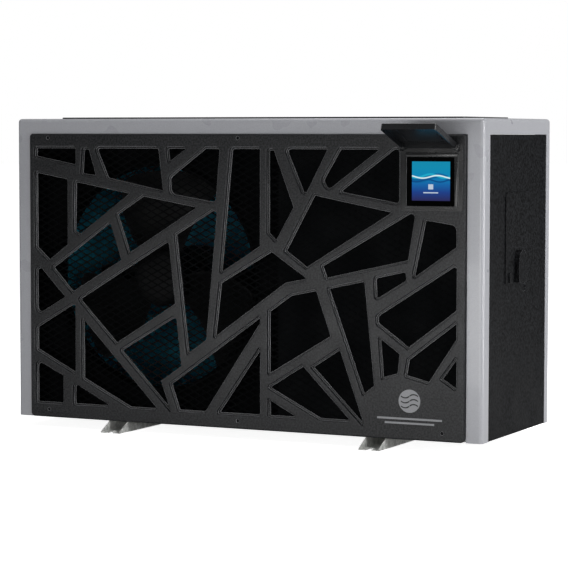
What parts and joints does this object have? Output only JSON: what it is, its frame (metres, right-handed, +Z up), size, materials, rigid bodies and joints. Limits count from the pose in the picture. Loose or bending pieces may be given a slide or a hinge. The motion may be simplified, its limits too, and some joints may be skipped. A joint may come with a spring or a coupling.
{
  "type": "pool heat pump unit",
  "caption": "Outdoor pool heat pump: grey cover, black front panel with angular openings over mesh, fan and coil, lidded touch display, rear water unions and two foot rails.",
  "frame": {"origin": "bottom centre of the bounding box, on the ground under the foot rails", "axes": "+Z up, the front panel faces -Y, +X to the right as seen from the front"},
  "size_m": [0.9808, 0.5408, 0.6025],
  "materials": {
    "frame_grey": "satin powder coat",
    "panel_black": "fine grained, matt",
    "mesh_black": "satin black",
    "side_black": "textured black powder coat",
    "galvanised": "galvanised",
    "plastic_black": "satin black",
    "screw_steel": "blackened",
    "emblem_grey": "satin grey",
    "fan_grey": "satin",
    "motor_steel": "satin black",
    "shaft_steel": "ground",
    "fin_blue": "hydrophilic blue-green coating",
    "copper": "drawn copper",
    "compressor_black": "gloss black enamel",
    "rubber_black": "matt",
    "vessel_grey": "satin",
    "union_white": "satin",
    "union_blue": "satin, cold side",
    "union_red": "satin, warm side",
    "board_green": "solder mask",
    "terminal_white": "moulded",
    "lens_black": "glossy touch glass",
    "valve_brass": "machined"
  },
  "bodies": {
    "casing": {"frame_cover": "frame_grey", "top_insert": "plastic_black", "front_panel": "panel_black", "protective_mesh": "mesh_black", "front_frame": "side_black", "base_pan": "galvanised", "drain_spout": "plastic_black", "foot_rail_left": "galvanised", "foot_rail_right": "galvanised", "side_panel_right": "side_black", "side_panel_left": "side_black", "wiring_cover": "side_black", "cable_hood": "side_black", "cover_latch": "side_black", "coil_guard_rear": "side_black", "rear_panel": "side_black", "cable_glands": "plastic_black", "front_screws": "screw_steel", "side_screws": "screw_steel", "badge_emblem": "emblem_grey", "badge_bars": "emblem_grey", "fan_deck": "plastic_black", "fan_motor": "motor_steel", "motor_bracket": "galvanised", "evaporator_coil": "fin_blue", "evaporator_bends": "copper", "partition_wall": "galvanised", "compressor": "compressor_black", "compressor_mounts": "rubber_black", "accumulator": "compressor_black", "condenser_vessel": "vessel_grey", "reversing_valve": "valve_brass", "expansion_valve": "valve_brass", "discharge_pipe": "copper", "suction_pipe": "copper", "liquid_pipe": "copper", "water_stub_inlet": "union_white", "union_socket_inlet": "union_white", "water_stub_outlet": "union_white", "union_socket_outlet": "union_white", "control_tray": "galvanised", "circuit_board": "board_green", "terminal_block": "terminal_white", "display_bezel": "plastic_black", "display_glass": "lens_black", "flap_pins": "shaft_steel"},
    "fan": {"fan_rotor": "fan_grey", "fan_shaft": "shaft_steel"},
    "flap": {"display_flap": "plastic_black"},
    "nut_inlet": {"union_nut_inlet": "union_blue"},
    "nut_outlet": {"union_nut_outlet": "union_red"}
  },
  "joints": [
    {"name": "fan_spin", "type": "hinge", "parent": "casing", "child": "fan", "pos_m": [-0.2084, -0.0591, 0.2955], "axis": [0, 1, 0], "continuous": true},
    {"name": "flap_hinge", "type": "hinge", "parent": "casing", "child": "flap", "pos_m": [0.3791, -0.1717, 0.546], "axis": [1, 0, 0], "range_deg": [0, 109]},
    {"name": "inlet_nut_turn", "type": "hinge", "parent": "casing", "child": "nut_inlet", "pos_m": [0.1996, 0.2219, 0.12], "axis": [0, 1, 0], "continuous": true},
    {"name": "outlet_nut_turn", "type": "hinge", "parent": "casing", "child": "nut_outlet", "pos_m": [0.1996, 0.2219, 0.32], "axis": [0, 1, 0], "continuous": true}
  ]
}
